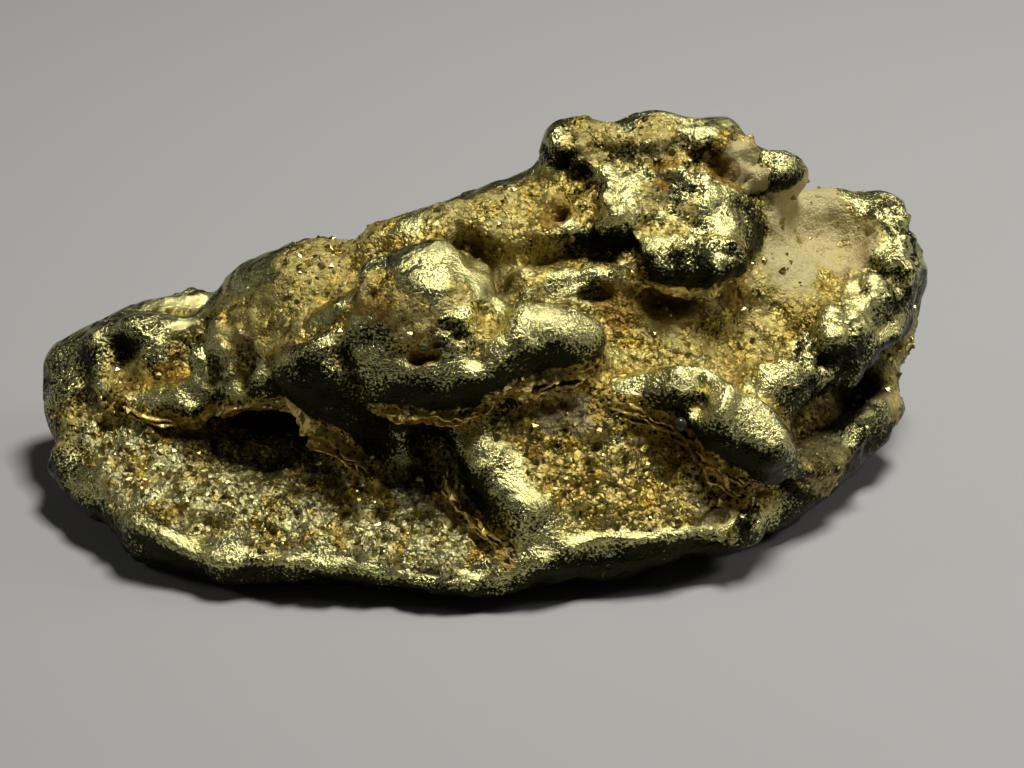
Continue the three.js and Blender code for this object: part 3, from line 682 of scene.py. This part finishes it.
    # beside the torn edges it is yellow, spongy and full of pores
    pores = addNode(tree, "ShaderNodeMapRange", None, Value=pattern["pore"]["Fac"],
                    From_Min=0.47, From_Max=0.58)
    sponge = addNode(tree, "ShaderNodeMix", {"data_type": "RGBA"}, Factor=pores.outputs[0],
                     i6=colour(nativeGold["spongy"]), i7=colour(nativeGold["pore"]))
    torn = addNode(tree, "ShaderNodeMath", {"operation": "ADD"}, i0=share["torn"], i1=pattern["dust"]["Fac"])
    torn = addNode(tree, "ShaderNodeMapRange", {"interpolation_type": "SMOOTHSTEP"}, Value=torn.outputs[0],
                   From_Min=0.85, From_Max=1.1)
    covers = addNode(tree, "ShaderNodeMix", {"data_type": "RGBA"}, Factor=torn.outputs[0],
                     i6=covers, i7=sponge.outputs[2]).outputs[2]
    dull = addNode(tree, "ShaderNodeMath", {"operation": "MULTIPLY"}, i0=torn.outputs[0], i1=0.5)
    matte = addNode(tree, "ShaderNodeMath", {"operation": "MAXIMUM"}, i0=matte,
                    i1=dull.outputs[0]).outputs[0]

    # the shader's own values: bare metal shines, and what covers it doesn't
    tree.links.new(covers, shader.inputs["Base Color"])
    bare = addNode(tree, "ShaderNodeMath", {"operation": "SUBTRACT", "use_clamp": True}, i0=1.0, i1=matte)
    tree.links.new(bare.outputs[0], shader.inputs["Metallic"])
    metalRough = addNode(tree, "ShaderNodeMapRange", None, Value=share["worn"],
                         To_Min=nativeGold["crumblyRoughness"], To_Max=nativeGold["burnishedRoughness"])
    rough = addNode(tree, "ShaderNodeMapRange", None, Value=matte, To_Min=metalRough.outputs[0],
                    To_Max=nativeGold["clayRoughness"])
    tree.links.new(rough.outputs[0], shader.inputs["Roughness"])

    # the relief: low domed crystals, each tilted its own way, strongest in the hollows
    away = addNode(tree, "ShaderNodeVectorMath", {"operation": "SUBTRACT"}, i0=bent.outputs[0],
                   i1=cells.outputs["Position"])
    away = addNode(tree, "ShaderNodeVectorMath", {"operation": "SCALE"}, i0=away.outputs[0], Scale=facetScale)
    tilt = addNode(tree, "ShaderNodeVectorMath", {"operation": "SUBTRACT"},
                   i0=cells.outputs["Color"], i1=(0.5, 0.5, 0.5))
    facet = addNode(tree, "ShaderNodeVectorMath", {"operation": "DOT_PRODUCT"}, i0=away.outputs[0],
                    i1=tilt.outputs[0])
    dome = addNode(tree, "ShaderNodeMath", {"operation": "MULTIPLY"}, i0=cells.outputs["Distance"],
                   i1=cells.outputs["Distance"])
    dome = addNode(tree, "ShaderNodeMath", {"operation": "MULTIPLY_ADD"}, i0=dome.outputs[0], i1=-0.55,
                   i2=facet.outputs["Value"])
    soft = addNode(tree, "ShaderNodeMath", {"operation": "MULTIPLY_ADD"}, i0=share["film"], i1=0.8,
                   i2=share["worn"])
    crisp = addNode(tree, "ShaderNodeMapRange", None, Value=soft.outputs[0], To_Min=0.9, To_Max=0.1)
    bump = addNode(tree, "ShaderNodeBump", None, Height=dome.outputs[0], Strength=crisp.outputs[0],
                   Distance=nativeGold["facetMm"] * mm)

    # then the pits, the scuffs, and the pores of the spongy strips
    for name, invert, strength in (("pit", True, 0.7), ("scuff", False, 1.0),
                                   ("pore", True, torn.outputs[0])):
        bump = addNode(tree, "ShaderNodeBump", {"invert": invert}, Height=pattern[name]["Fac"],
                       Strength=strength, Distance=nativeGold[name + "DepthMm"] * mm,
                       Normal=bump.outputs["Normal"])
    tree.links.new(bump.outputs["Normal"], shader.inputs["Normal"])
    return material


mesh.shade_smooth()
nuggetSkin = placePiece("nuggetSkin", mesh, nativeGoldMaterial())
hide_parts("nugget")
print("nugget skin done")


# One crumpled sheet: rows of corners, in pairs for its two faces, from inside the skin out to the torn edge
def sheetCorners(line, tree, number, sheet, lip, thicknessMm):
    _, _, gap, reach, droop = lip
    roots, outs = [], []
    for place in line:
        sway = noise.noise(Vector(place) * 1.7 + Vector((sheet * 3.1, number * 5.3, 0)))
        wanted = Vector(place) - Vector((0, 0, gap * (sheet + 0.7 * sway)))
        near, normal, _, _ = tree.find_nearest(wanted * mm)
        roots.append(np.array(near) / mm)
        outs.append(np.array(normal))
    ends = np.arange(len(line))
    chain = np.stack([ends[:-1], ends[1:]], axis=1)
    roots = smoothed(np.array(roots), chain, 6)
    outs = smoothed(np.array(outs), chain, 20)
    outs /= np.linalg.norm(outs, axis=1)[:, None]
    corners = []
    for i, (root, out) in enumerate(zip(roots, outs)):
        ahead = line[min(i + 2, len(line) - 1)] - line[max(i - 2, 0)]
        hang = out * (1 - abs(droop)) - np.array((0, 0, droop))
        hang /= np.linalg.norm(hang)
        up = np.cross(hang, ahead)
        up *= np.sign(up[2]) / (np.linalg.norm(up) + 1e-9)
        torn = 0.8 + 0.6 * noise.noise(Vector(root) * 2.0 + Vector((sheet * 7.7, 0, 0)))
        torn += 0.35 * noise.noise(Vector(root) * 8.0 + Vector((0, sheet * 2.9, 0)))
        fade = min(1, 4 * i / len(roots), 4 * (len(roots) - 1 - i) / len(roots))
        width = max(0.02, reach * torn * fade)
        for row in range(flakes["rows"] + 1):
            t = row / flakes["rows"]
            place = root - out * flakes["buried"] + hang * ((width + flakes["buried"]) * t)
            wave = noise.noise(Vector(place) * 3.0 + Vector((0, 0, sheet * 4.1)))
            wave += 0.6 * noise.noise(Vector(place) * 8.0)
            place = place + up * (flakes["crumple"] * wave * (0.3 + t))
            corners.append(place + up * (thicknessMm / 2))
            corners.append(place - up * (thicknessMm / 2))
    return corners


# The faces of one sheet: upper and lower, then the two long edges, then the two ends
def sheetFaces(first, count):
    rows = flakes["rows"]
    wide = 2 * (rows + 1)
    faces = []
    for i in range(count - 1):
        a, b = first + i * wide, first + (i + 1) * wide
        for row in range(rows):
            faces.append((a + 2 * row, a + 2 * row + 2, b + 2 * row + 2, b + 2 * row))
            faces.append((a + 2 * row + 1, b + 2 * row + 1, b + 2 * row + 3, a + 2 * row + 3))
        faces.append((a, b, b + 1, a + 1))
        faces.append((a + wide - 2, a + wide - 1, b + wide - 1, b + wide - 2))
    for end in (first, first + (count - 1) * wide):
        for row in range(rows):
            faces.append((end + 2 * row, end + 2 * row + 1, end + 2 * row + 3, end + 2 * row + 2))
    return faces


# All the sheets along the given lips, as one mesh
def flakySheets(name, skinMesh, lips, thicknessMm):
    tree = meshTree(skinMesh)
    corners, faces = [], []
    for number, lip in enumerate(lips):
        stops, sheets = lip[:2]
        length = np.sum(np.linalg.norm(np.diff(np.array(stops), axis=0), axis=1))
        samples = max(3, round(length / flakes["stepMm"] / (len(stops) - 1)))
        line = smoothLine(stops, samples)
        for sheet in range(sheets):
            faces += sheetFaces(len(corners), len(line))
            corners += sheetCorners(line, tree, number, sheet, lip, thicknessMm)
    flakyMesh = bpy.data.meshes.new(name)
    flakyMesh.from_pydata([Vector(c) * mm for c in corners], [], faces)
    work = bmesh.new()
    work.from_mesh(flakyMesh)
    bmesh.ops.recalc_face_normals(work, faces=work.faces)
    work.to_mesh(flakyMesh)
    work.free()
    print(name, len(flakyMesh.polygons), "faces")
    return flakyMesh


# Torn gold leaf: the freshest metal on the nugget, yellow and crinkled, tarnished brown in patches
tornGold = {"leaf": "#FCE486", "tarnish": "#8E6E28", "roughness": 0.5, "wrinkleMm": 0.1,
            "wrinkleDepthMm": 0.03}


def tornGoldMaterial():
    material, tree, shader = newMaterial("native gold, torn leaf")
    place = addNode(tree, "ShaderNodeTexCoord").outputs["Object"]
    wrinkles = addNode(tree, "ShaderNodeTexNoise", None, Vector=place, Scale=1 / (tornGold["wrinkleMm"] * mm),
                       Detail=3.0)
    dark = addNode(tree, "ShaderNodeMapRange", None, Value=wrinkles.outputs["Fac"],
                   From_Min=0.5, From_Max=0.66)
    tint = addNode(tree, "ShaderNodeMix", {"data_type": "RGBA"}, Factor=dark.outputs[0],
                   i6=colour(tornGold["leaf"]), i7=colour(tornGold["tarnish"]))
    tree.links.new(tint.outputs[2], shader.inputs["Base Color"])
    shader.inputs["Metallic"].default_value = 1.0
    shader.inputs["Roughness"].default_value = tornGold["roughness"]
    bump = addNode(tree, "ShaderNodeBump", None, Height=wrinkles.outputs["Fac"], Strength=0.8,
                   Distance=tornGold["wrinkleDepthMm"] * mm)
    tree.links.new(bump.outputs["Normal"], shader.inputs["Normal"])
    return material


flakyMesh = flakySheets("flakyEdges", mesh, flakes["lips"], flakes["thicknessMm"])
placePiece("flakyEdges", flakyMesh, tornGoldMaterial())


# The small fin at the right end of the front rim: thicker sheets of the same kind, lumpy, with painted shade
# over it that is darkest between the lumps
def raggedFinMesh():
    fin = flakySheets("raggedFin", mesh, flakes["fin"], flakes["finThicknessMm"])
    corners = pointsOf(fin)
    lumps = lumpyNoise(corners, flakes["finLumpSize"], 8.0, 2)
    setPoints(fin, corners + normalsOf(fin) * (flakes["finLumps"] * lumps)[:, None])
    addAttribute(fin, "worn", softStep(lumps, -0.3, 0.3))
    # painted shade over the fin, darkest between its lumps
    addAttribute(fin, "paintedShade", 0.7 - 0.8 * lumps)
    fin.shade_smooth()
    return fin


placePiece("raggedFin", raggedFinMesh(), nuggetSkin.data.materials[0])
print("flaky edges done")

# One grain of glassy black sand, rolled smooth and wedged into the edge of the right lobe
sandGrain = {
    "place": (3.55, -3.0, 2.8),
    "radius": 0.13,
    "uneven": 0.12,
    "lumpsPerMm": 6,
    "colour": "#3E3B2C",
    "roughness": 0.2,
}


def sandGrainMesh():
    work = bmesh.new()
    bmesh.ops.create_icosphere(work, subdivisions=4, radius=sandGrain["radius"] * mm)
    for corner in work.verts:
        corner.co *= 1 + sandGrain["uneven"] * noise.noise(corner.co * (sandGrain["lumpsPerMm"] / mm))
        corner.co += Vector(sandGrain["place"]) * mm
    found = bpy.data.meshes.new("sandGrain")
    work.to_mesh(found)
    work.free()
    found.shade_smooth()
    return found


# Black river sand (magnetite and the like), glassy where it is rolled smooth
def blackSandMaterial():
    material, tree, shader = newMaterial("black river sand")
    shader.inputs["Base Color"].default_value = colour(sandGrain["colour"])
    shader.inputs["Roughness"].default_value = sandGrain["roughness"]
    return material


placePiece("sandGrain", sandGrainMesh(), blackSandMaterial())
print("sand grain done")

# Loose grains caught in the hollows: broken gold crystals, and crumbs of clay. The clay's own grains are
# finer than its crumbs here, which are as coarse as they need to be to show.
grains = {
    "goldGrains": {"attribute": "loose", "perMm2": 30.0, "smallestMm": 0.02, "largestMm": 0.085, "seed": 4},
    "clayCrumbs": {"attribute": "crumbs", "perMm2": 9.0, "smallestMm": 0.015, "largestMm": 0.045, "seed": 9},
}


# Scatters angular grains of three shapes over a surface, as densely as the attribute says
def grainTree(attribute, material):
    tree = bpy.data.node_groups.new("scatter grains", "GeometryNodeTree")
    sockets = {}
    tree.interface.new_socket("Geometry", in_out="INPUT", socket_type="NodeSocketGeometry")
    for name, kind in (("Grains per square metre", "NodeSocketFloat"), ("Smallest", "NodeSocketFloat"),
                       ("Largest", "NodeSocketFloat"), ("Seed", "NodeSocketInt")):
        sockets[name] = tree.interface.new_socket(name, in_out="INPUT", socket_type=kind).identifier
    tree.interface.new_socket("Geometry", in_out="OUTPUT", socket_type="NodeSocketGeometry")
    given = addNode(tree, "NodeGroupInput").outputs
    share = addNode(tree, "GeometryNodeInputNamedAttribute", {"data_type": "FLOAT"}, Name=attribute)
    density = addNode(tree, "ShaderNodeMath", {"operation": "MULTIPLY"},
                      i0=share.outputs["Attribute"], i1=given["Grains per square metre"])
    spots = addNode(tree, "GeometryNodeDistributePointsOnFaces", None, Mesh=given["Geometry"],
                    Density=density.outputs[0], Seed=given["Seed"])
    shapes = addNode(tree, "GeometryNodeJoinGeometry")
    for seed in (1, 2, 3):
        ball = addNode(tree, "GeometryNodeMeshIcoSphere", None, Radius=1.0, Subdivisions=1)
        jitter = addNode(tree, "FunctionNodeRandomValue", {"data_type": "FLOAT_VECTOR"},
                         i0=(-0.4, -0.4, -0.4), i1=(0.4, 0.4, 0.4), Seed=seed)
        crystal = addNode(tree, "GeometryNodeSetPosition", None, Geometry=ball.outputs["Mesh"],
                          Offset=jitter.outputs["Value"])
        alone = addNode(tree, "GeometryNodeGeometryToInstance", None, Geometry=crystal.outputs["Geometry"])
        tree.links.new(alone.outputs[0], shapes.inputs[0])
    turn = addNode(tree, "FunctionNodeRandomValue", {"data_type": "FLOAT_VECTOR"}, i0=(0, 0, 0),
                   i1=(6.28, 6.28, 6.28), Seed=given["Seed"])
    size = addNode(tree, "FunctionNodeRandomValue", {"data_type": "FLOAT"}, i2=0.0, i3=1.0,
                   Seed=given["Seed"])
    size = addNode(tree, "ShaderNodeMath", {"operation": "POWER"}, i0=size.outputs[1], i1=2.0)
    size = addNode(tree, "ShaderNodeMapRange", None, Value=size.outputs[0], To_Min=given["Smallest"],
                   To_Max=given["Largest"])
    scattered = addNode(tree, "GeometryNodeInstanceOnPoints", None, Points=spots.outputs["Points"],
                        Instance=shapes.outputs[0], Rotation=turn.outputs["Value"], Scale=size.outputs[0])
    scattered.inputs["Pick Instance"].default_value = True
    real = addNode(tree, "GeometryNodeRealizeInstances", None, Geometry=scattered.outputs[0])
    coated = addNode(tree, "GeometryNodeSetMaterial", None, Geometry=real.outputs[0], Material=material)
    addNode(tree, "NodeGroupOutput", None, Geometry=coated.outputs[0])
    return tree, sockets


def scatterGrains(name, material):
    values = grains[name]
    source = addObject(name + "Source", mesh.copy())
    tree, sockets = grainTree(values["attribute"], material)
    scatter = source.modifiers.new("scatter", "NODES")
    scatter.node_group = tree
    scatter[sockets["Grains per square metre"]] = values["perMm2"] / mm ** 2
    scatter[sockets["Smallest"]] = values["smallestMm"] * mm
    scatter[sockets["Largest"]] = values["largestMm"] * mm
    scatter[sockets["Seed"]] = values["seed"]
    found = bpy.data.meshes.new_from_object(source.evaluated_get(bpy.context.evaluated_depsgraph_get()))
    source.modifiers.clear()
    bpy.data.objects.remove(source)
    print(name, len(found.polygons), "faces")
    return found


# Broken crystals of the same gold, with bright flat faces
crystalGold = {"bright": "#DCD290", "dull": "#AE9654", "roughness": 0.32, "patchMm": 0.4}


def crystalGoldMaterial():
    material, tree, shader = newMaterial("native gold, crystals")
    place = addNode(tree, "ShaderNodeTexCoord").outputs["Object"]
    patches = addNode(tree, "ShaderNodeTexNoise", None, Vector=place, Scale=1 / (crystalGold["patchMm"] * mm),
                      Detail=3.0)
    tint = addNode(tree, "ShaderNodeMix", {"data_type": "RGBA"}, Factor=patches.outputs["Fac"],
                   i6=colour(crystalGold["bright"]), i7=colour(crystalGold["dull"]))
    tree.links.new(tint.outputs[2], shader.inputs["Base Color"])
    shader.inputs["Metallic"].default_value = 1.0
    shader.inputs["Roughness"].default_value = crystalGold["roughness"]
    return material


# Dried river clay, dusty and without gloss, browner where iron has got into it
riverClay = {"pale": "#DCC894", "brown": "#B8954E", "roughness": 0.9, "patchMm": 0.7}


def riverClayMaterial():
    material, tree, shader = newMaterial("river clay, dry")
    place = addNode(tree, "ShaderNodeTexCoord").outputs["Object"]
    patches = addNode(tree, "ShaderNodeTexNoise", None, Vector=place, Scale=1 / (riverClay["patchMm"] * mm),
                      Detail=3.0)
    share = addNode(tree, "ShaderNodeMapRange", None, Value=patches.outputs["Fac"],
                    From_Min=0.4, From_Max=0.6)
    tint = addNode(tree, "ShaderNodeMix", {"data_type": "RGBA"}, Factor=share.outputs[0],
                   i6=colour(riverClay["pale"]), i7=colour(riverClay["brown"]))
    tree.links.new(tint.outputs[2], shader.inputs["Base Color"])
    shader.inputs["Roughness"].default_value = riverClay["roughness"]
    return material


for name, material in (("goldGrains", crystalGoldMaterial()), ("clayCrumbs", riverClayMaterial())):
    placePiece(name, scatterGrains(name, material), material)
print("grains done")

# The table, the light and the camera
studio = {
    "cameraTilt": 29.3,  # degrees below level
    "cameraDistance": 43.6,  # mm
    "focalLength": 80.5,  # on a 36 mm sensor
    "aim": (0.47, -1.13, 2.6),  # mm
    "tableColour": "#BDBBB6",
    "tableRoughness": 0.7,
    "tableWidth": 1200,  # mm
    "tableGap": 0.01,  # mm under the nugget, so that no two faces share a place
    "airBrightness": 0.013,
    "exposure": -0.45,
    "lamps": {  # place in mm, width in mm, watts
        "softbox": ((21, 12, 86), 24, 0.084),
        "leftLamp": ((-75, 5, 45), 20, 0.004),
        "rightLamp": ((75, 12, 50), 20, 0.012),
    },
}


def studioScene():
    camera = bpy.data.cameras.new("camera")
    camera.sensor_width = 36
    camera.lens = studio["focalLength"]
    camera.clip_start = 1 * mm
    stand = addObject("camera", camera)
    tilt = math.radians(studio["cameraTilt"])
    back = Vector((0, -math.cos(tilt), math.sin(tilt)))
    stand.location = (Vector(studio["aim"]) + back * studio["cameraDistance"]) * mm
    stand.rotation_euler = (math.radians(90) - tilt, 0, 0)
    bpy.context.scene.camera = stand

    table = bpy.data.meshes.new("table")
    half = studio["tableWidth"] / 2 * mm
    level = -studio["tableGap"] * mm
    corners = [(-half, -half, level), (half, -half, level), (half, half, level), (-half, half, level)]
    table.from_pydata(corners, [], [(0, 1, 2, 3)])
    material, tree, shader = newMaterial("matte pale table")
    shader.inputs["Base Color"].default_value = colour(studio["tableColour"])
    shader.inputs["Roughness"].default_value = studio["tableRoughness"]
    table.materials.append(material)
    addObject("table", table)

    world = bpy.data.worlds.new("studio air")
    bpy.context.scene.world = world
    world.use_nodes = True
    air = world.node_tree.nodes["Background"]
    air.inputs["Color"].default_value = (1, 1, 1, 1)
    air.inputs["Strength"].default_value = studio["airBrightness"]
    bpy.context.scene.view_settings.view_transform = "Standard"
    bpy.context.scene.view_settings.exposure = studio["exposure"]

    for name, (place, size, watts) in studio["lamps"].items():
        light = bpy.data.lights.new(name, "AREA")
        light.size = size * mm
        light.energy = watts
        lamp = addObject(name, light)
        lamp.location = Vector(place) * mm
        lamp.rotation_euler = (middle - lamp.location).to_track_quat("-Z", "Y").to_euler()


studioScene()
print("studio done")
